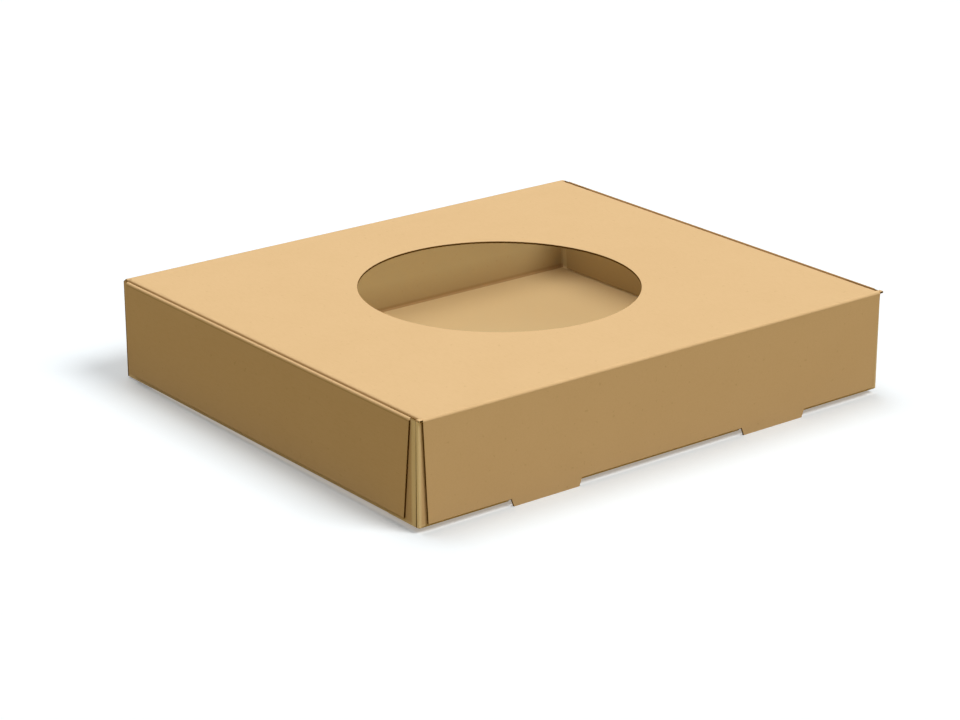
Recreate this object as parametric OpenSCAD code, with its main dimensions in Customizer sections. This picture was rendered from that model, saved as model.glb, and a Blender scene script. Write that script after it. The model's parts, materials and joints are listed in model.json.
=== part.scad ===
// Folding pizza box with a round window in its lid, shown closed.
// One die-cut sheet of corrugated board: tray, lid and front flap stay joined at creases.
// The front flap hangs outside the tray, and its two lock tabs reach below the tray's
// floor, so the closed box stands on the tabs and on its rear edge.
// Millimetres, +Z up, origin at the bottom centre of the standing box.

/* [Box] */
// Width over the two standing side walls, without their outer layers
box_w = 400; // [240:1:600]
// Depth from the front wall's face to the back wall's face
box_d = 346; // [200:1:560]
// Height from the tray's underside to the lid's top
box_h = 73; // [35:1:120]

/* [Board] */
// Thickness of the corrugated board
board_t = 1.4; // [0.8:0.1:3]

/* [Folds] */
// Outer radius of the folds between floor and walls
floor_fold_r = 2.6; // [1.6:0.1:5]
// Outer radius of the upright folds at the tray's corners
corner_fold_r = 2; // [1.6:0.1:5]
// Outer radius of the fold between back wall and lid
back_fold_r = 2.4; // [1.6:0.1:5]
// Outer radius of the folds between lid and ears
ear_fold_r = 3; // [1.8:0.1:6]
// Outer radius of the fold between lid and front flap
front_fold_r = 1.7; // [1.6:0.1:5]

/* [Window] */
// Diameter of the round window, centred in the lid
window_d = 198; // [60:1:220]

/* [Side walls] */
// Distance from the wall faces to the ends of the outer layer, at its top
layer_setback = 7.4; // [3:0.1:30]
// How much shorter each end of the outer layer is at its lower edge
layer_taper = 6.4; // [0:0.1:20]
// Height of the outer layer's lower edge above the tray's underside
layer_lift = 4.2; // [3:0.1:15]
// How far the rolled top edge lies below the lid's top
bead_drop = 0.4; // [0:0.1:3]

/* [Corner flaps] */
// Length of the corner flaps behind the outer layer
corner_flap_l = 32; // [22:1:80]
// Height of the corner flaps' lower edge above the tray's underside
corner_flap_lift = 1.1; // [0.5:0.1:5]
// Width at its foot of the crushed score line beside each upright fold
score_w = 0.7; // [0.2:0.1:1.2]
// Depth of that score line
score_depth = 0.5; // [0.1:0.1:0.7]

/* [Lid] */
// Height of the ears' lower edge above the tray's floor
ear_lift = 1.2; // [0.5:0.1:20]
// Distance from the ears' rear end to the back wall, at the fold
ear_rear_setback = 3.5; // [1:0.1:30]
// How much shorter the ears' rear end is at the lower edge
ear_rear_taper = 5; // [0:0.1:30]
// How far the lid's bare front corners run in behind the front fold
nib_l = 3.4; // [2:0.1:8]

/* [Front flap] */
// Distance from the side wall's face to the flap's end, at the fold
flap_setback = 2.8; // [1:0.1:20]
// How much shorter each end of the flap is at its lower edge
flap_taper = 3.6; // [0:0.1:20]
// Height of the flap's lower edge above the tray's underside
flap_lift = 3; // [1:0.1:15]
// Distance from the middle of the flap to the middle of each lock tab
tab_offset = 99; // [40:1:140]
// Width of a lock tab at its root
tab_w = 58; // [20:1:75]
// How much narrower a lock tab is at its tip, each side
tab_taper = 2.2; // [0:0.1:8]
// How far the lock tabs reach below the tray's underside
tab_drop = 2.8; // [1:0.1:8]

/* [Clearances] */
// Gap between faces of the lid or the flap and the tray
fit_gap = 0.3; // [0.1:0.05:1]
// Width of the open crease between two parts that turn on each other
crease_gap = 0.2; // [0.1:0.05:0.5]
// Gap between a side wall's end and the corner flap beside it
seam_gap = 0.3; // [0.1:0.05:1]
// Clearance of the ears' front ends from the front wall as the lid swings
swing_gap = 0.8; // [0.4:0.1:3]
// How much wider than the lock tab its slot is, each side
slot_gap = 0.8; // [0.2:0.1:3]

/* [Hidden] */
$fn = 96;
eps = 0.01;
half_w = box_w / 2;
// Plane of the flap's outer face, in front of the front wall's face at y = 0
flap_y = -(fit_gap + board_t);
// Height of the rolled edge's axis, where the side walls' flat part ends
bead_z = box_h - bead_drop - board_t;
// Height of the tray's front edge, under the lid
rim_z = box_h - board_t - fit_gap;
// Height of the corner flaps' upper edge beside the lid, a gap below the rolled edge's top
lip_z = box_h - bead_drop - fit_gap;
// Outer face of an ear, measured in from the side wall's face
ear_inset = board_t + fit_gap;
ear_foot_z = board_t + ear_lift;
ear_top_z = box_h - ear_fold_r;
// Widest reach of the lid's sheet before it bends down into the ears
plate_half_w = half_w - ear_inset - ear_fold_r;
// The ears' front ends stay inside this radius about the lid's hinge line, in whole hundredths
swing_r = box_d - board_t - swing_gap;
function swing_run(z) = sqrt(swing_r * swing_r - (box_h - z) * (box_h - z));
function swing_y(z) = ceil(100 * (box_d - swing_run(z))) / 100;
// Lean of the standing box, from its lock tabs in front to its rear edge
foot_y = box_d - floor_fold_r;
foot_reach = foot_y + fit_gap;
foot_drop = floor_fold_r + tab_drop;
foot_span = sqrt(foot_reach * foot_reach + foot_drop * foot_drop);
lean = atan2(foot_drop, foot_reach) - asin(floor_fold_r / foot_span);
function lean_y(y, z) = (y - foot_y) * cos(lean) + (z - floor_fold_r) * sin(lean);
front_end_y = lean_y(flap_y, -tab_drop);
rear_end_y = lean_y(box_d - back_fold_r, box_h - back_fold_r) + back_fold_r;
kraft = "#c89b62";
kraft_lid = "#dcb07a";
kraft_flap = "#bd9156";

// Stands a piece of the box on its tabs and rear edge, over the origin
module stand() {
    translate([0, -(front_end_y + rear_end_y) / 2, floor_fold_r])
        rotate([-lean, 0, 0])
            translate([0, -foot_y, -floor_fold_r])
                children();
}

module both_sides() {
    children();
    mirror([1, 0, 0])
        children();
}

// Section of a fold: part of a ring of board, from angle a0 over a span up to 90 degrees
module fold_section(r, a0 = 0, span = 90) {
    reach = 2 * r;
    intersection() {
        difference() {
            circle(r);
            circle(r - board_t);
        }
        rotate(a0)
            polygon([
                [0, 0],
                [reach, 0],
                [reach, reach * tan(span / 2)],
                [reach * cos(span), reach * sin(span)]
            ]);
    }
}

// Fold that runs along X, with its section drawn in Y and Z about the fold's centre
module fold_along_x(half_l, y, z, r, a0, span = 90) {
    translate([-half_l, y, z])
        rotate([90, 0, 90])
            linear_extrude(2 * half_l)
                fold_section(r, a0, span);
}

// Fold that runs along Y, with its section drawn in X and Z about the fold's centre
module fold_along_y(x, y0, y1, z, r, a0) {
    translate([x, y1, z])
        rotate([90, 0, 0])
            linear_extrude(y1 - y0)
                fold_section(r, a0);
}

// Flat panel of board standing in a plane of constant x, outlined in Y and Z
module side_panel(x, outline) {
    translate([x, 0, 0])
        rotate([90, 0, 90])
            linear_extrude(board_t)
                polygon(outline);
}

// Part of the floor; at both ends it runs out as far as the corner flaps' inner faces
module floor_part(half_l, y0, y1) {
    translate([-half_l, y0, 0])
        cube([2 * half_l, y1 - y0, board_t]);
}

// Floor, front wall and back wall, with the folds between them
module tray_body() {
    wall_half_w = half_w - corner_fold_r;
    floor_part(half_w - floor_fold_r, corner_flap_l, box_d - corner_flap_l);
    floor_part(half_w - board_t - fit_gap, floor_fold_r, corner_flap_l);
    floor_part(half_w - board_t - fit_gap, box_d - corner_flap_l, foot_y);
    fold_along_x(wall_half_w, floor_fold_r, floor_fold_r, floor_fold_r, 180);
    fold_along_x(wall_half_w, foot_y, floor_fold_r, floor_fold_r, 270);
    translate([-wall_half_w, 0, floor_fold_r])
        cube([2 * wall_half_w, board_t, rim_z - floor_fold_r]);
    translate([-wall_half_w, box_d - board_t, floor_fold_r])
        cube([2 * wall_half_w, board_t, box_h - back_fold_r - floor_fold_r]);
    back_crease();
}

// The tray's half of the rounded fold that carries the lid
module back_crease() {
    y = box_d - back_fold_r;
    z = box_h - back_fold_r;
    difference() {
        fold_along_x(half_w - corner_fold_r, y, z, back_fold_r, 0, 45);
        crease_cut(y, z, 45);
    }
}

// Wedge that opens a crease by crease_gap about the middle of its fold
module crease_cut(y, z, angle) {
    translate([-half_w, y, z])
        rotate([angle, 0, 0])
            translate([0, 0, -crease_gap / 2])
                cube([box_w, box_d, crease_gap]);
}

// Upright fold and corner flap at one corner; the flap rises beside the lid, the fold below it
module corner_flap() {
    difference() {
        union() {
            translate([-half_w + corner_fold_r, corner_fold_r, corner_flap_lift])
                linear_extrude(rim_z - corner_flap_lift)
                    fold_section(corner_fold_r, 180);
            translate([-half_w, corner_fold_r, corner_flap_lift])
                cube([board_t, corner_flap_l - corner_fold_r, lip_z - corner_flap_lift]);
        }
        // Crushed score line that opens toward its foot
        translate([-half_w - eps, corner_fold_r, 0])
            rotate([90, 0, 90])
                linear_extrude(score_depth + eps)
                    polygon([[0, 0], [score_w, 0], [0, rim_z - corner_fold_r]]);
    }
}

// Side wall that stands up from the floor between the corner flaps
module side_wall() {
    y0 = corner_flap_l + seam_gap;
    y1 = box_d - y0;
    fold_along_y(-half_w + floor_fold_r, y0, y1, floor_fold_r, floor_fold_r, 180);
    translate([-half_w, y0, floor_fold_r])
        cube([board_t, y1 - y0, bead_z - floor_fold_r]);
}

// Outer layer, rolled over the wall's top and glued flat to wall and corner flaps
module outer_layer() {
    y0 = layer_setback;
    y1 = box_d - layer_setback;
    side_panel(-half_w - board_t, [
        [y0, bead_z],
        [y0 + layer_taper, layer_lift],
        [y1 - layer_taper, layer_lift],
        [y1, bead_z]
    ]);
    translate([-half_w, y1, bead_z])
        rotate([90, 0, 0])
            linear_extrude(y1 - y0)
                intersection() {
                    circle(board_t);
                    translate([-board_t, 0])
                        square([2 * board_t, board_t]);
                }
}

// Slot through the front bottom fold, where a lock tab hooks in
module lock_slot() {
    w = tab_w + 2 * slot_gap;
    translate([tab_offset - w / 2, -eps, -eps])
        cube([w, floor_fold_r + board_t, board_t + fit_gap]);
}

module tray() {
    color(kraft)
        stand()
            difference() {
                union() {
                    tray_body();
                    both_sides() {
                        corner_flap();
                        translate([0, box_d, 0])
                            mirror([0, 1, 0])
                                corner_flap();
                        side_wall();
                        outer_layer();
                    }
                }
                both_sides()
                    lock_slot();
            }
}

// Ear folded down inside a side wall, cut to swing clear of the front wall
module ear() {
    y0 = swing_y(ear_top_z);
    y1 = box_d - board_t - ear_rear_setback;
    fold_along_y(-plate_half_w, y0, y1, ear_top_z, ear_fold_r, 90);
    side_panel(-half_w + ear_inset, [
        [y0, ear_top_z],
        [swing_y(ear_foot_z), ear_foot_z],
        [y1 - ear_rear_taper, ear_foot_z],
        [y1, ear_top_z]
    ]);
}

// Bare corner of the lid's sheet, between its ear and its front flap
module nib() {
    y0 = flap_y + front_fold_r;
    translate([-half_w, y0 - nib_l / 2, box_h - board_t])
        cube([flap_setback, nib_l, board_t]);
    translate([-half_w, y0, box_h - board_t])
        cube([half_w - plate_half_w, nib_l / 2, board_t]);
}

// Bare corner of the lid's sheet, between its ear and its rear fold
module rear_corner() {
    y0 = box_d - board_t - ear_rear_setback + seam_gap;
    y1 = box_d - back_fold_r;
    if (y1 > y0)
        translate([-plate_half_w - ear_fold_r, y0, box_h - board_t])
            cube([ear_fold_r, y1 - y0, board_t]);
}

// Flat sheet of the lid
module lid_sheet() {
    y0 = flap_y + front_fold_r;
    y1 = box_d - back_fold_r;
    translate([-plate_half_w, y0, box_h - board_t])
        cube([2 * plate_half_w, y1 - y0, board_t]);
}

// The lid's halves of its rear and front folds
module lid_creases() {
    back_y = box_d - back_fold_r;
    back_z = box_h - back_fold_r;
    front_y = flap_y + front_fold_r;
    front_z = box_h - front_fold_r;
    difference() {
        fold_along_x(half_w - ear_inset, back_y, back_z, back_fold_r, 45, 45);
        crease_cut(back_y, back_z, 45);
    }
    difference() {
        fold_along_x(half_w - flap_setback, front_y, front_z, front_fold_r, 90, 45);
        crease_cut(front_y, front_z, 135);
    }
}

module lid() {
    color(kraft_lid)
        stand()
            difference() {
                union() {
                    lid_sheet();
                    lid_creases();
                    both_sides() {
                        ear();
                        nib();
                        rear_corner();
                    }
                }
                translate([0, box_d / 2, box_h - 2 * board_t])
                    cylinder(d = window_d, h = 3 * board_t);
            }
}

// Trapezoid lock tab, with its root on the flap's lower edge
module lock_tab_outline() {
    tip_w = tab_w - 2 * tab_taper;
    polygon([
        [tab_offset - tab_w / 2, flap_lift + eps],
        [tab_offset - tip_w / 2, -tab_drop],
        [tab_offset + tip_w / 2, -tab_drop],
        [tab_offset + tab_w / 2, flap_lift + eps]
    ]);
}

module front_flap() {
    top_w = half_w - flap_setback;
    foot_w = top_w - flap_taper;
    fold_y = flap_y + front_fold_r;
    fold_z = box_h - front_fold_r;
    color(kraft_flap)
        stand() {
            translate([0, flap_y + board_t, 0])
                rotate([90, 0, 0])
                    linear_extrude(board_t)
                        union() {
                            polygon([
                                [-top_w, fold_z],
                                [-foot_w, flap_lift],
                                [foot_w, flap_lift],
                                [top_w, fold_z]
                            ]);
                            lock_tab_outline();
                            mirror([1, 0])
                                lock_tab_outline();
                        }
            difference() {
                fold_along_x(top_w, fold_y, fold_z, front_fold_r, 135, 45);
                crease_cut(fold_y, fold_z, 135);
            }
        }
}

tray();
lid();
front_flap();
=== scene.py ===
import json
import math

import bpy
import numpy as np
from mathutils import Matrix, Vector


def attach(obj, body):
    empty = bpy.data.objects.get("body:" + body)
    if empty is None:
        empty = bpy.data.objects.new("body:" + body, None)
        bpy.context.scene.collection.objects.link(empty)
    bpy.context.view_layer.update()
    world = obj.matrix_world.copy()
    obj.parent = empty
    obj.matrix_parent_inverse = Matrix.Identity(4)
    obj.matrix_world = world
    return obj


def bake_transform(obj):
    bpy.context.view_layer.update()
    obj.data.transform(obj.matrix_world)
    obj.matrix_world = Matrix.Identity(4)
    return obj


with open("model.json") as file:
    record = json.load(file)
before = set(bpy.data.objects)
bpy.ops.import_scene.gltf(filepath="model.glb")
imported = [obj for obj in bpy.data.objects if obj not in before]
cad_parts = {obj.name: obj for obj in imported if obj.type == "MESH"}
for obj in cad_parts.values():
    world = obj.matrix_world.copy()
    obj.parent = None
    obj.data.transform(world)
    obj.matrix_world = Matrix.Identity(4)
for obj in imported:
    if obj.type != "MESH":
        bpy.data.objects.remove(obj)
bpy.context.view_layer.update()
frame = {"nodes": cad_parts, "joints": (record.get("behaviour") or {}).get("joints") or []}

# The box's own axes. The closed box stands on its two lock tabs and its rear bottom fold, so
# it leans back by half a degree. Both of its creases lie at the lid's height, so they give
# the lean. Sizes are in metres: x from the middle, y back from the front wall, z up.
BOX_W, BOX_D, BOX_H = 0.400, 0.346, 0.073
HALF_W = BOX_W / 2
BOARD = 0.0014
crease = {joint["name"]: np.array(joint["pos_m"]) for joint in frame["joints"]}
rear_crease, front_crease = crease["lid_hinge"], crease["front_flap_hinge"]
backward = (rear_crease - front_crease) / np.linalg.norm(rear_crease - front_crease)
upward = np.cross((1.0, 0.0, 0.0), backward)


def turned(directions):
    """Directions in the box's own axes, turned into the frame: x stays, y runs back, z up."""
    d = np.asarray(directions, float)
    return d[..., :1] * (1, 0, 0) + d[..., 1:2] * backward + d[..., 2:3] * upward


def placed(points):
    """Box points set into the frame: each one's way from the rear crease, turned with the
    box, plus that crease."""
    return turned(np.asarray(points, float) - (0, BOX_D, BOX_H)) + rear_crease


# Kraft board, the whole box: one die-cut sheet of E flute. Its outer paper is unbleached
# long-fibre kraft, dry calendered: matt warm tan, short fibres, a few embossed flecks, and a
# faint washboard where the flutes show. Its inner paper is a duller recycled liner.
FLUTE_PITCH = 0.0033
SKIN = 0.00005
# Patterns, in repeats a metre, and how much the fibres are drawn out along the flutes.
FIBRES, FLECKS, CLOUDS = 1100.0, 330.0, 24.0
FIBRE_STRETCH = 0.17
OUTER_TAN = "#DAB786"
INNER_TAN = "#BCA879"
FIBRE_BROWN = "#C39C67"
FLECK_BROWN = "#A67C48"
# Painted shade: the dark line in the score beside each upright corner fold.
SCORE_SHADE_BROWN = "#6A4414"
# Painted highlight: a paler tan laid on folds where their rounding would catch light.
PAINTED_HIGHLIGHT_TAN = "#F4DAA8"
# Painted shade: a darker brown laid where shade falls, in valleys, under edges and toward the
# feet of walls.
PAINTED_SHADE_BROWN = "#8A6230"


def linear(hex_colour):
    """An sRGB hex colour as linear red, green, blue and alpha."""
    parts = [int(hex_colour[i : i + 2], 16) / 255 for i in (1, 3, 5)]
    return [p / 12.92 if p <= 0.04045 else ((p + 0.055) / 1.055) ** 2.4 for p in parts] + [1]


def add_node(tree, kind, sockets=None, **settings):
    """Adds a node and gives its first output. Settings are its properties; sockets are its
    inputs, each a value or the output that feeds it."""
    made = tree.nodes.new(kind)
    for name, value in settings.items():
        setattr(made, name, value)
    for key, value in (sockets or {}).items():
        if isinstance(value, bpy.types.NodeSocket):
            tree.links.new(value, made.inputs[key])
        else:
            made.inputs[key].default_value = value
    return made


def new_material(name):
    """An empty node material: the material and its node tree."""
    material = bpy.data.materials.new(name)
    material.use_nodes = True
    material.node_tree.nodes.clear()
    return material, material.node_tree


def arithmetic(tree, operation, first, second=0.0):
    """One step of arithmetic on two numbers or outputs."""
    return add_node(
        tree, "ShaderNodeMath", {0: first, 1: second}, operation=operation
    ).outputs[0]


def share(tree, value, low, high, most):
    """0 where value is under low, most where it is over high, and even in between."""
    return add_node(
        tree,
        "ShaderNodeMapRange",
        {"Value": value, "From Min": low, "From Max": high, "To Min": 0.0, "To Max": most},
    ).outputs["Result"]


def tinted(tree, amount, first, second):
    """A colour between two others, by amount."""
    return add_node(
        tree,
        "ShaderNodeMix",
        {"Factor": amount, "A": first, "B": second},
        data_type="RGBA",
    ).outputs["Result"]


def box_axes(tree):
    """Object coordinates set back into the box's own axes, as a vector, x, y and z: turned
    forward by the lean, then shifted so that the rear crease is at its box point."""
    lean = math.atan2(backward[2], backward[1])
    shift = (
        0.0,
        BOX_D - float(rear_crease @ backward),
        BOX_H - float(rear_crease @ upward),
    )
    place = add_node(tree, "ShaderNodeTexCoord").outputs["Object"]
    upright = add_node(
        tree,
        "ShaderNodeMapping",
        {"Vector": place, "Rotation": (-lean, 0.0, 0.0), "Location": shift},
    ).outputs["Vector"]
    axes = add_node(tree, "ShaderNodeSeparateXYZ", {"Vector": upright}).outputs
    return upright, axes["X"], axes["Y"], axes["Z"]


def kraft_board(name, seed, inside, bends=(), score_shaded=False, painted_highlights=(), painted_shades=()):
    """The board's two papers. Fibres are a noise stretched 6 to 1 along the flutes, flecks
    are the tops of a finer noise, and the washboard is a wave of the flutes' pitch. Inside is
    a list of (axis, operation, limit) that all hold on the inner paper, and bends are creases
    along x with inner paper too: (y, z, radius, 1 or -1 for the way out in y). The last two
    lists paint the paper: the first paler, a painted highlight on a fold, the second darker, a
    painted shade; each span is (axis, from, to) that all hold, and then how much. Scoring
    adds a painted shade line beside each upright corner fold."""
    material, tree = new_material(name)
    place, across, y, z = box_axes(tree)
    x = arithmetic(tree, "ABSOLUTE", across)
    axes = {"across": across, "x": x, "y": y, "z": z}
    inner = 1.0
    for axis, operation, limit in inside:
        inner = arithmetic(
            tree, "MULTIPLY", inner, arithmetic(tree, operation, axes[axis], limit)
        )
    for middle_y, middle_z, radius, way_out in bends:
        out_y = arithmetic(
            tree, "MULTIPLY", arithmetic(tree, "SUBTRACT", y, middle_y), float(way_out)
        )
        out_z = arithmetic(tree, "SUBTRACT", z, middle_z)
        reached = arithmetic(
            tree,
            "ADD",
            arithmetic(tree, "MULTIPLY", out_y, out_y),
            arithmetic(tree, "MULTIPLY", out_z, out_z),
        )
        within = arithmetic(tree, "LESS_THAN", reached, (radius - SKIN) ** 2)
        for out in (out_y, out_z):
            within = arithmetic(
                tree, "MULTIPLY", within, arithmetic(tree, "GREATER_THAN", out, 0.0)
            )
        inner = arithmetic(tree, "MAXIMUM", inner, within)
    moved = add_node(
        tree, "ShaderNodeVectorMath", {0: place, 1: (seed, 0.3 * seed, 0.7 * seed)}
    ).outputs[0]
    along = add_node(
        tree, "ShaderNodeMapping", {"Vector": moved, "Scale": (1.0, FIBRE_STRETCH, 1.0)}
    ).outputs["Vector"]
    fibres = add_node(
        tree, "ShaderNodeTexNoise", {"Vector": along, "Scale": FIBRES, "Detail": 3.0}
    ).outputs["Fac"]
    clouds = add_node(
        tree, "ShaderNodeTexNoise", {"Vector": moved, "Scale": CLOUDS, "Detail": 3.0}
    ).outputs["Fac"]
    flecks = add_node(
        tree, "ShaderNodeTexNoise", {"Vector": moved, "Scale": FLECKS, "Detail": 1.0}
    ).outputs["Fac"]
    paper = tinted(tree, inner, linear(OUTER_TAN), linear(INNER_TAN))
    uneven = arithmetic(
        tree, "ADD", share(tree, fibres, 0.45, 0.8, 0.14), share(tree, clouds, 0.4, 0.7, 0.06)
    )
    paper = tinted(tree, uneven, paper, linear(FIBRE_BROWN))
    fleck = share(tree, flecks, 0.72, 0.77, 0.16)
    paper = tinted(tree, fleck, paper, linear(FLECK_BROWN))
    # Painted light and shade: each span tints the paper paler as a painted highlight or darker
    # as a painted shade.
    for spans, shade in ((painted_highlights, PAINTED_HIGHLIGHT_TAN), (painted_shades, PAINTED_SHADE_BROWN)):
        for span in spans:
            amount = span[-1]
            for axis, low, high in span[:-1]:
                amount = arithmetic(
                    tree, "MULTIPLY", amount, share(tree, axes[axis], low, high, 1.0)
                )
            paper = tinted(tree, amount, paper, linear(shade))
    if score_shaded:
        # A painted shade line in the score beside each upright corner fold, where a narrow
        # shadow lies: it starts at the fold and widens toward the foot.
        from_end = arithmetic(
            tree,
            "SUBTRACT",
            BOX_D / 2,
            arithmetic(tree, "ABSOLUTE", arithmetic(tree, "SUBTRACT", y, BOX_D / 2)),
        )
        reach = arithmetic(
            tree,
            "SUBTRACT",
            SCORE_END + SCORE_OVER,
            arithmetic(tree, "MULTIPLY", z, SCORE_W / BOX_H),
        )
        score_shade_here = arithmetic(tree, "GREATER_THAN", x, HALF_W - BOARD / 2)
        for held in (
            arithmetic(tree, "GREATER_THAN", from_end, SCORE_END - SCORE_W - SKIN),
            arithmetic(tree, "LESS_THAN", from_end, reach),
        ):
            score_shade_here = arithmetic(tree, "MULTIPLY", score_shade_here, held)
        paper = tinted(
            tree, arithmetic(tree, "MULTIPLY", score_shade_here, 0.9), paper, linear(SCORE_SHADE_BROWN)
        )
    flute_angle = arithmetic(tree, "MULTIPLY", x, 2 * math.pi / FLUTE_PITCH)
    washboard = add_node(
        tree,
        "ShaderNodeBump",
        {
            "Height": arithmetic(tree, "SINE", flute_angle),
            "Strength": 0.2,
            "Distance": 0.00002,
        },
    ).outputs["Normal"]
    waved = add_node(
        tree,
        "ShaderNodeBump",
        {"Height": clouds, "Strength": 0.4, "Distance": 0.0005, "Normal": washboard},
    ).outputs["Normal"]
    flecked = add_node(
        tree,
        "ShaderNodeBump",
        {
            "Height": share(tree, flecks, 0.69, 0.77, 1.0),
            "Strength": 0.25,
            "Distance": 0.0001,
            "Normal": waved,
        },
    ).outputs["Normal"]
    grained = add_node(
        tree,
        "ShaderNodeBump",
        {"Height": fibres, "Strength": 0.35, "Distance": 0.00005, "Normal": flecked},
    ).outputs["Normal"]
    paper_shader = add_node(
        tree,
        "ShaderNodeBsdfPrincipled",
        {
            "Base Color": paper,
            "Roughness": 0.85,
            "IOR": 1.45,
            "Specular IOR Level": 0.2,
            "Normal": grained,
        },
    ).outputs["BSDF"]
    add_node(tree, "ShaderNodeOutputMaterial", {"Surface": paper_shader})
    return material


def dressed(name, material):
    """Gives a CAD node its one material."""
    node = frame["nodes"][name]
    node.data.materials.clear()
    node.data.materials.append(material)


# The tray: floor, four walls and the side walls' rolled outer layers. Its score lines stand
# beside the four upright folds, each with a painted shade line, and its rear wall bends over
# into the lid.
REAR_FOLD_R = 0.0024
REAR_BEND = (BOX_D - REAR_FOLD_R, BOX_H - REAR_FOLD_R, REAR_FOLD_R, 1)
# The painted shade line in each score: its place from the box's end, how much it widens toward
# the foot, and its width at the top.
SCORE_END, SCORE_W, SCORE_OVER = 0.0027, 0.0007, 0.0002
tray_board = kraft_board(
    "kraft_board_tray",
    0.0,
    [
        ("x", "LESS_THAN", HALF_W - BOARD + SKIN),
        ("y", "GREATER_THAN", BOARD - SKIN),
        ("y", "LESS_THAN", BOX_D - BOARD + SKIN),
        ("z", "GREATER_THAN", BOARD - SKIN),
    ],
    bends=[REAR_BEND],
    score_shaded=True,
    painted_highlights=[
        # Painted highlight: the upright front folds, then the bottom folds, paler where their
        # rounding would catch light. The lower band takes in all the tray's board below it, the
        # floor too.
        [("x", 0.1970, 0.1990), ("y", 0.0080, 0.0060), 1.0],
        [("z", 0.0036, 0.0020), 0.6],
    ],
    painted_shades=[
        # Painted shade on the wall tops' inner sides beside the lid, and a dark painted shade
        # line where the rolled edge begins.
        [("x", 0.2002, 0.1996), ("z", 0.0712, 0.0716), 0.9],
        [("x", 0.2009, 0.2011), ("z", 0.0700, 0.0703), ("z", 0.0711, 0.0708), 0.3],
        # Painted shade on the floor inside, on the back wall, darker toward its foot, and a
        # dark line along the fold there.
        [("z", 0.0022, 0.0018), ("x", 0.1980, 0.1970), ("y", 0.0014, 0.0024), 0.3],
        [("y", 0.3425, 0.3435), ("y", 0.3450, 0.3447), ("z", 0.024, 0.002), 0.4],
        [("y", 0.3428, 0.3434), ("y", 0.3450, 0.3447), ("z", 0.005, 0.003), 0.5],
    ],
)
dressed("tray", tray_board)

# The lid with its two ears. The ears' inner sides and the lid's underside are inner paper, and
# its front bends down into the front flap, which stands a gap outside the front wall.
EAR_INSET = 0.0017
EAR_INNER_X = HALF_W - EAR_INSET - BOARD
FLAP_Y = -0.0017
FRONT_FOLD_R = 0.0017
FRONT_BEND = (FLAP_Y + FRONT_FOLD_R, BOX_H - FRONT_FOLD_R, FRONT_FOLD_R, -1)
lid_board = kraft_board(
    "kraft_board_lid",
    3.1,
    [("x", "LESS_THAN", EAR_INNER_X + SKIN), ("z", "LESS_THAN", BOX_H - BOARD + SKIN)],
    bends=[REAR_BEND, FRONT_BEND],
    painted_shades=[
        # Painted shade on the left ear's fold beside the rolled edge, broad and faint, then
        # narrow and dark; both reach over the left ear's whole outer side.
        [("across", -0.1960, -0.1974), ("y", 0.0018, 0.0024), ("y", 0.3413, 0.3409), 0.15],
        [("across", -0.1967, -0.1974), ("y", 0.0018, 0.0024), ("y", 0.3413, 0.3409), 0.7],
        # Painted shade on the ears' inner sides, darker toward the foot.
        [("x", 0.1960, 0.1965), ("x", 0.1974, 0.1971), ("z", 0.045, 0.004), 0.4],
    ],
)
dressed("lid", lid_board)

# The front flap with its two lock tabs. Its back is inner paper.
flap_board = kraft_board(
    "kraft_board_flap", 7.7, [("y", "GREATER_THAN", FLAP_Y + BOARD - SKIN)], [FRONT_BEND]
)
dressed("front_flap", flap_board)


# Cut edges. A die cuts across the board, so each edge shows two thin papers and the waved
# one between them, with the hollows between them painted dark as shade. Flutes run front to
# back, and up the front and back walls. Each strip is a thin closed band along the cut, a hair
# proud of it.
CUT_PROUD, CUT_SUNK, CUT_MARGIN = 0.00006, 0.00006, 0.00003
CUT_PAPER = "#926C32"
CUT_HOLLOW_SHADE = "#352107"


def cut_strip(outline, across, flute_axis, closed=False, proud=CUT_PROUD):
    """A thin band along a cut: at each corner of the outline, four points, half the board's
    thickness to both sides along across, set out by proud and in by CUT_SUNK along the
    cut's own mitred normal. Gives points, faces, and the flute and depth values in mm."""
    line = np.asarray(outline, float)
    across = np.asarray(across, float)
    ahead = np.roll(line, -1, 0) - line
    if not closed:
        ahead[-1] = ahead[-2]
    ahead /= np.linalg.norm(ahead, axis=1)[:, None]
    out = np.cross(ahead, across)
    before = np.roll(out, 1, 0)
    if not closed:
        before[0] = out[0]
    mitre = (out + before) / (1 + (out * before).sum(1))[:, None]
    half = (BOARD / 2 - CUT_MARGIN) * across
    rings = np.stack(
        [
            line + mitre * proud + half,
            line + mitre * proud - half,
            line - mitre * CUT_SUNK - half,
            line - mitre * CUT_SUNK + half,
        ],
        1,
    )
    count = len(line)
    start = np.arange(count if closed else count - 1)[:, None] * 4
    after = (start + 4) % (4 * count)
    corner = np.arange(4)[None, :]
    follow = (corner + 1) % 4
    sides = np.stack([start + corner, start + follow, after + follow, after + corner], -1)
    faces = sides.reshape(-1, 4)
    if not closed:
        last = 4 * (count - 1)
        caps = [[3, 2, 1, 0], [last, last + 1, last + 2, last + 3]]
        faces = np.concatenate([faces, caps])
    flute = np.repeat(line[:, flute_axis], 4) * 1000
    depth = np.tile([1.0, -1.0, -1.0, 1.0], count) * (BOARD / 2 * 1000)
    return rings.reshape(-1, 3), faces, np.column_stack([flute, depth])


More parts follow.
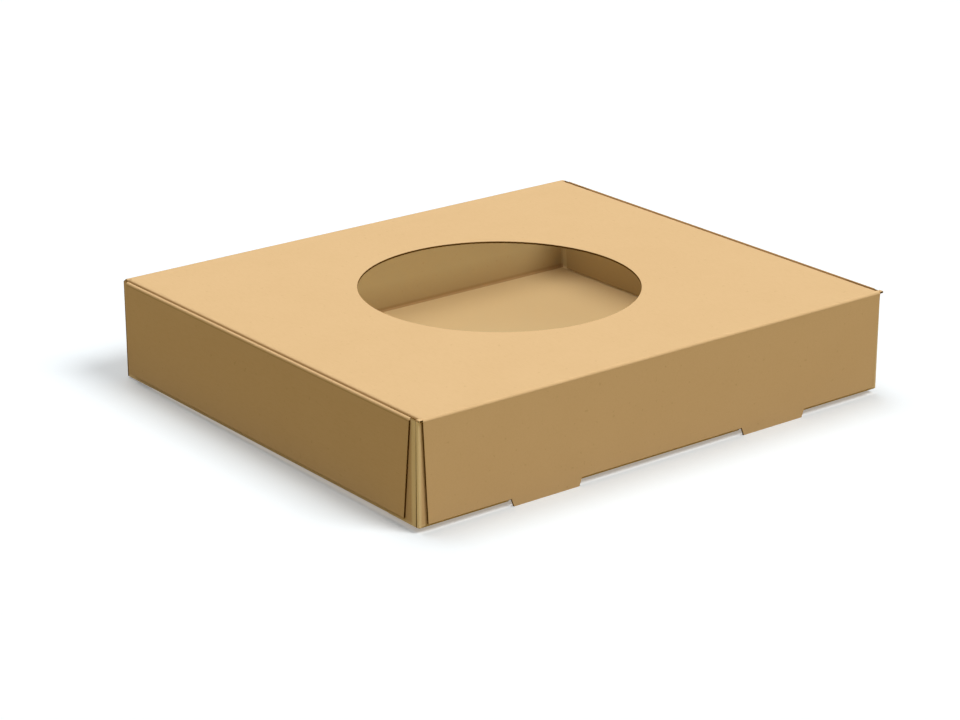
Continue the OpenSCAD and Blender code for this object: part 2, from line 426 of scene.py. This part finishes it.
def board_mesh(name, points, faces, flat=None):
    """A mesh of quads in the frame's axes, facing outwards, with flat as its UV map."""
    mesh = bpy.data.meshes.new(name)
    mesh.from_pydata(placed(points).tolist(), [], np.asarray(faces).tolist())
    if flat is not None:
        corners = np.zeros(len(mesh.loops), np.int32)
        mesh.loops.foreach_get("vertex_index", corners)
        layer = mesh.uv_layers.new(name="across_and_depth")
        layer.data.foreach_set("uv", flat[corners].astype(np.float32).ravel())
    made = bpy.data.objects.new(name, mesh)
    bpy.context.scene.collection.objects.link(made)
    return made


def cut_edges(name, body, strips):
    """All the cut strips of one moving part as one piece."""
    points, faces, flat, offset = [], [], [], 0
    for strip_points, strip_faces, strip_flat in strips:
        points.append(strip_points)
        faces.append(strip_faces + offset)
        flat.append(strip_flat)
        offset += len(strip_points)
    made = board_mesh(name, np.concatenate(points), np.concatenate(faces), np.concatenate(flat))
    made.data.materials.append(cut_board)
    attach(made, body)


# The cut board as the eye meets it: the waved paper is a sine of the flutes' pitch, 0.24 mm
# thick, and the liners are 0.2 mm, between hollows painted dark as shade. Sizes are in mm from
# the board's middle.
WAVE_HEIGHT, WAVE_HALF, LINER_FROM = 0.4, 0.12, 0.5
cut_board, tree = new_material("die_cut_flute_edge")
flat_axes = add_node(
    tree,
    "ShaderNodeSeparateXYZ",
    {"Vector": add_node(tree, "ShaderNodeTexCoord").outputs["UV"]},
).outputs
wave = arithmetic(
    tree,
    "MULTIPLY",
    arithmetic(
        tree,
        "SINE",
        arithmetic(tree, "MULTIPLY", flat_axes["X"], 2 * math.pi / (FLUTE_PITCH * 1000)),
    ),
    WAVE_HEIGHT,
)
off_wave = arithmetic(
    tree, "ABSOLUTE", arithmetic(tree, "SUBTRACT", flat_axes["Y"], wave)
)
off_middle = arithmetic(tree, "ABSOLUTE", flat_axes["Y"])
paper_here = arithmetic(
    tree,
    "MAXIMUM",
    arithmetic(tree, "LESS_THAN", off_wave, WAVE_HALF),
    arithmetic(tree, "GREATER_THAN", off_middle, LINER_FROM),
)
# Painted shade: the hollows between the papers are dark.
cut_colour = tinted(tree, paper_here, linear(CUT_HOLLOW_SHADE), linear(CUT_PAPER))
cut_relief = add_node(
    tree,
    "ShaderNodeBump",
    {"Height": paper_here, "Strength": 0.6, "Distance": 0.0002},
).outputs["Normal"]
cut_shader = add_node(
    tree,
    "ShaderNodeBsdfPrincipled",
    {
        "Base Color": cut_colour,
        "Roughness": 0.95,
        "IOR": 1.45,
        "Specular IOR Level": 0.1,
        "Normal": cut_relief,
    },
).outputs["BSDF"]
add_node(tree, "ShaderNodeOutputMaterial", {"Surface": cut_shader})

# The lid's cuts: the round window, its bare corners, and the ears' three free sides.
WINDOW_R, WINDOW_PROUD, WINDOW_STEPS = 0.099, 0.00018, 240
NIB_INSET, FLAP_SETBACK = 0.0003, 0.0028
FLAP_TOP_X = HALF_W - FLAP_SETBACK
EAR_FRONT = ((0.00221, 0.070), (0.00877, 0.0026))
EAR_REAR = ((0.3361, 0.0026), (0.3411, 0.070))
turn = np.linspace(0, 2 * math.pi, WINDOW_STEPS, endpoint=False)
lid_middle = BOX_H - BOARD / 2
window_line = np.column_stack(
    [
        WINDOW_R * np.cos(turn),
        BOX_D / 2 + WINDOW_R * np.sin(turn),
        np.full_like(turn, lid_middle),
    ]
)
lid_strips = [cut_strip(window_line, (0, 0, -1), 0, closed=True, proud=WINDOW_PROUD)]
ear_middle = EAR_INNER_X + BOARD / 2
for side in (-1, 1):
    nib_line = [
        (side * (HALF_W - NIB_INSET), FLAP_Y, lid_middle),
        (side * FLAP_TOP_X, FLAP_Y, lid_middle),
    ]
    lid_strips.append(cut_strip(nib_line, (0, 0, -side), 0))
    ear_line = [(side * ear_middle, y, z) for y, z in EAR_FRONT + EAR_REAR]
    lid_strips.append(cut_strip(ear_line, (1, 0, 0), 2))
cut_edges("lid_cut_edges", "lid", lid_strips)

# The front flap's cuts: both ends, the lower edge and the two lock tabs.
FLAP_TAPER = 0.0036
FLAP_FOOT_X = FLAP_TOP_X - FLAP_TAPER
FLAP_TOP_Z, FLAP_FOOT_Z = BOX_H - FRONT_FOLD_R, 0.003
TAB_AT, TAB_ROOT, TAB_TIP, TAB_Z = 0.099, 0.029, 0.0268, -0.0028
half_flap = [
    (TAB_AT - TAB_ROOT, FLAP_FOOT_Z),
    (TAB_AT - TAB_TIP, TAB_Z),
    (TAB_AT + TAB_TIP, TAB_Z),
    (TAB_AT + TAB_ROOT, FLAP_FOOT_Z),
    (FLAP_FOOT_X, FLAP_FOOT_Z),
    (FLAP_TOP_X, FLAP_TOP_Z),
]
flap_middle = FLAP_Y + BOARD / 2
flap_line = [(-x, flap_middle, z) for x, z in half_flap[::-1]]
flap_line += [(x, flap_middle, z) for x, z in half_flap]
cut_edges("flap_cut_edges", "front_flap", [cut_strip(flap_line, (0, 1, 0), 0)])

# The tray's cuts: the outer layers' ends and lower edges, and the upper and lower edges of
# the front wall and the corner flaps.
LAYER_END, LAYER_TAPER, LAYER_Z, BEAD_Z = 0.0074, 0.0064, 0.0042, 0.0712
RIM_Z, LIP_Z, CORNER_L, CORNER_Z = 0.0713, 0.0723, 0.032, 0.0011
CORNER_FOLD_R = 0.002
tray_strips = []
layer_line = [
    (LAYER_END, BEAD_Z),
    (LAYER_END + LAYER_TAPER, LAYER_Z),
    (BOX_D - LAYER_END - LAYER_TAPER, LAYER_Z),
    (BOX_D - LAYER_END, BEAD_Z),
]
for side in (-1, 1):
    layer_x = side * (HALF_W + BOARD / 2)
    tray_strips.append(cut_strip([(layer_x, y, z) for y, z in layer_line], (1, 0, 0), 2))
    flap_x = side * (HALF_W - BOARD / 2)
    for y0, y1 in ((CORNER_FOLD_R, CORNER_L), (BOX_D - CORNER_L, BOX_D - CORNER_FOLD_R)):
        tray_strips.append(
            cut_strip([(flap_x, y1, LIP_Z), (flap_x, y0, LIP_Z)], (1, 0, 0), 1)
        )
        tray_strips.append(
            cut_strip([(flap_x, y0, CORNER_Z), (flap_x, y1, CORNER_Z)], (1, 0, 0), 1)
        )
rim_end = HALF_W - CORNER_FOLD_R
tray_strips.append(
    cut_strip(
        [(-rim_end, BOARD / 2, RIM_Z), (rim_end, BOARD / 2, RIM_Z)], (0, 1, 0), 0
    )
)
cut_edges("tray_cut_edges", "tray", tray_strips)


# The two creases that open. The board is pressed along a line and then bends there, so it
# stays one sheet: each crease is a bend of full thickness that follows the part before it,
# turns, and follows the part after it.
CREASE_SKIN = 0.00006
BEND_STEPS = 24
REAR_HALF_L, FRONT_HALF_L = 0.1979, 0.1971
crease_papers = (
    kraft_board("kraft_crease_outside", 3.1, [("x", "LESS_THAN", -1.0)]),
    kraft_board("kraft_crease_inside", 5.2, []),
)


def crease_bend(name, bend, half_l):
    """A quarter of a ring of board along x: its outer and inner arcs about the bend's middle,
    set out and in by CREASE_SKIN, carried from one end to the other."""
    y, z, radius, way_out = bend
    first = 0 if way_out > 0 else 90
    angle = np.radians(np.linspace(first, first + 90, BEND_STEPS + 1))
    outer, inner = radius + CREASE_SKIN, radius - BOARD - CREASE_SKIN
    ring = np.concatenate(
        [
            np.column_stack([y + outer * np.cos(angle), z + outer * np.sin(angle)]),
            np.column_stack([y + inner * np.cos(angle), z + inner * np.sin(angle)])[::-1],
        ]
    )
    ends = np.linspace(-half_l, half_l, 2)
    count = len(ring)
    points = np.concatenate(
        [np.column_stack([np.full(count, end), ring]) for end in ends]
    )
    index = np.arange(count)
    after = (index + 1) % count
    walls = np.stack([index, after, after + count, index + count], 1)
    steps = np.arange(BEND_STEPS)
    caps = np.stack([steps, count - 1 - steps, count - 2 - steps, steps + 1], 1)
    far_caps = caps[:, ::-1] + count
    made = board_mesh(name, points, np.concatenate([walls, caps, far_caps]))
    for paper in crease_papers:
        made.data.materials.append(paper)
    inner_faces = np.zeros(len(made.data.polygons), np.int32)
    inner_faces[BEND_STEPS:count] = 1
    made.data.polygons.foreach_set("material_index", inner_faces)
    return made


rear_piece = crease_bend("rear_crease", REAR_BEND, REAR_HALF_L)
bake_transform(rear_piece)
front_piece = crease_bend("front_crease", FRONT_BEND, FRONT_HALF_L)
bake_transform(front_piece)


# The set: a pale seamless floor, white away from the box, that keeps the box's soft shadow.
# Light that bounces off it meets a dull brown, so it lights the walls only weakly.
FLOOR_HALF = 6.0
FLOOR_SEEN = (0.92, 0.97, 1.0, 1.0)
FLOOR_GLOW = 0.06
UNDER_GLOW = 0.20
FOOT_HALF_X, FOOT_HALF_Y, FOOT_BLUR = 0.2000, 0.1730, 0.0012
FLOOR_BOUNCE = (0.30, 0.215, 0.0, 1.0)


def seen_directly(tree):
    """1 on rays from the camera, or through glass or off gloss, and 0 on all others."""
    ways = add_node(tree, "ShaderNodeLightPath").outputs
    return arithmetic(
        tree,
        "MAXIMUM",
        arithmetic(tree, "MAXIMUM", ways["Is Camera Ray"], ways["Is Glossy Ray"]),
        ways["Is Transmission Ray"],
    )


floor_mesh = bpy.data.meshes.new("studio_floor")
floor_mesh.from_pydata(
    [(x * FLOOR_HALF, y * FLOOR_HALF, 0) for x, y in ((-1, -1), (1, -1), (1, 1), (-1, 1))],
    [],
    [(0, 1, 2, 3)],
)
floor = bpy.data.objects.new("studio_floor", floor_mesh)
bpy.context.scene.collection.objects.link(floor)
floor_paper, tree = new_material("seamless_background_paper")
seen = seen_directly(tree)
matt = add_node(
    tree, "ShaderNodeBsdfDiffuse", {"Color": tinted(tree, seen, FLOOR_BOUNCE, FLOOR_SEEN)}
).outputs[0]
# Under the box the paper glows a little, so that the thin gap below its edges isn't black.
ground = add_node(
    tree,
    "ShaderNodeSeparateXYZ",
    {"Vector": add_node(tree, "ShaderNodeTexCoord").outputs["Object"]},
).outputs
under = arithmetic(
    tree,
    "MULTIPLY",
    *(
        share(
            tree,
            arithmetic(tree, "ABSOLUTE", ground[axis]),
            foot_half + FOOT_BLUR,
            foot_half - FOOT_BLUR,
            1.0,
        )
        for axis, foot_half in (("X", FOOT_HALF_X), ("Y", FOOT_HALF_Y))
    ),
)
glow_here = arithmetic(
    tree,
    "ADD",
    arithmetic(tree, "MULTIPLY", seen, FLOOR_GLOW),
    arithmetic(tree, "MULTIPLY", under, UNDER_GLOW),
)
glow = add_node(
    tree, "ShaderNodeEmission", {"Color": (1, 1, 1, 1), "Strength": glow_here}
).outputs[0]
floor_shader = add_node(tree, "ShaderNodeAddShader", {0: matt, 1: glow}).outputs[0]
add_node(tree, "ShaderNodeOutputMaterial", {"Surface": floor_shader})
floor_mesh.materials.append(floor_paper)

# The fill: a wide white tent overhead, brightest at the top and dim at the horizon, as the
# square of the height on the sky. The camera sees plain white.
SKY_TOP = 0.64
world = bpy.data.worlds.new("white_tent")
world.use_nodes = True
tree = world.node_tree
tree.nodes.clear()
height = add_node(
    tree,
    "ShaderNodeSeparateXYZ",
    {"Vector": add_node(tree, "ShaderNodeTexCoord").outputs["Generated"]},
).outputs["Z"]
height = arithmetic(tree, "MAXIMUM", height, 0.0)
tent = arithmetic(tree, "MULTIPLY", arithmetic(tree, "MULTIPLY", height, height), SKY_TOP)
fill = add_node(
    tree, "ShaderNodeBackground", {"Color": (1, 1, 1, 1), "Strength": tent}
).outputs[0]
white = add_node(
    tree, "ShaderNodeBackground", {"Color": (1, 1, 1, 1), "Strength": 1.0}
).outputs[0]
tent_shader = add_node(
    tree, "ShaderNodeMixShader", {0: seen_directly(tree), 1: fill, 2: white}
).outputs[0]
add_node(tree, "ShaderNodeOutputWorld", {"Surface": tent_shader})
bpy.context.scene.world = world

# Three soft suns: the key, above, in front and to the right; a weaker one from behind, for the
# floor's shadow in front of the box; and a faint fill from the front left that leaves the
# floor out. Each has its name, the way to it, its light on a level face and its spread.
# The lid lets them through, so that the inside shows through the window as plainly as the
# photograph shows it.
SUNS = (
    ("key_sun", (0.15, -0.29, 0.44), 0.42, 27.0, ()),
    ("rear_sun", (0.0, 0.14, 0.42), 0.29, 30.0, ()),
    ("left_fill", (-0.35, -0.22, 0.35), 0.12, 40.0, (floor,)),
)


def left_out(collection_name, members):
    """A light-linking collection that leaves its members out."""
    made = bpy.data.collections.new(collection_name)
    for member in members:
        made.objects.link(member)
    for member in made.collection_objects:
        member.light_linking.link_state = "EXCLUDE"
    return made


lets_light_through = left_out("lets_light_through", [frame["nodes"]["lid"]])
for sun_name, way, level, spread, unlit in SUNS:
    way = Vector(way).normalized()
    lamp = bpy.data.lights.new(sun_name, "SUN")
    # A sun of E watts a square metre lights a level face by E times its height, and pi of
    # that is white.
    lamp.energy = level * math.pi / way.z
    lamp.angle = math.radians(spread)
    sun = bpy.data.objects.new(sun_name, lamp)
    bpy.context.scene.collection.objects.link(sun)
    sun.location = way * 3.0
    sun.rotation_mode = "QUATERNION"
    sun.rotation_quaternion = way.to_track_quat("Z", "Y")
    sun.light_linking.blocker_collection = lets_light_through
    if unlit:
        sun.light_linking.receiver_collection = left_out(f"{sun_name}_leaves_out", unlit)

# The camera: a long lens to the left of the front, twenty degrees above the floor. Its place
# is worked out in the box's own axes and set with them.
CAMERA_PLACE = (-1.13853, -1.26701, 0.69001)
CAMERA_RIGHT = (0.78875095, -0.61471187, -0.00111906)
CAMERA_UP = (0.21239939, 0.27082531, 0.93890370)
FOCAL_PIXELS, PHOTO_PIXELS = 2780.84, 960
camera_data = bpy.data.cameras.new("camera")
camera_data.sensor_fit = "HORIZONTAL"
camera_data.sensor_width = 36.0
camera_data.lens = FOCAL_PIXELS / PHOTO_PIXELS * camera_data.sensor_width
camera_data.clip_start, camera_data.clip_end = 0.05, 60
camera = bpy.data.objects.new("camera", camera_data)
bpy.context.scene.collection.objects.link(camera)
right, up = turned(CAMERA_RIGHT), turned(CAMERA_UP)
stance = Matrix(np.column_stack([right, up, np.cross(right, up)]).tolist()).to_4x4()
stance.translation = placed(CAMERA_PLACE).tolist()
camera.matrix_world = stance
bpy.context.scene.camera = camera
bpy.context.scene.view_settings.view_transform = "Standard"
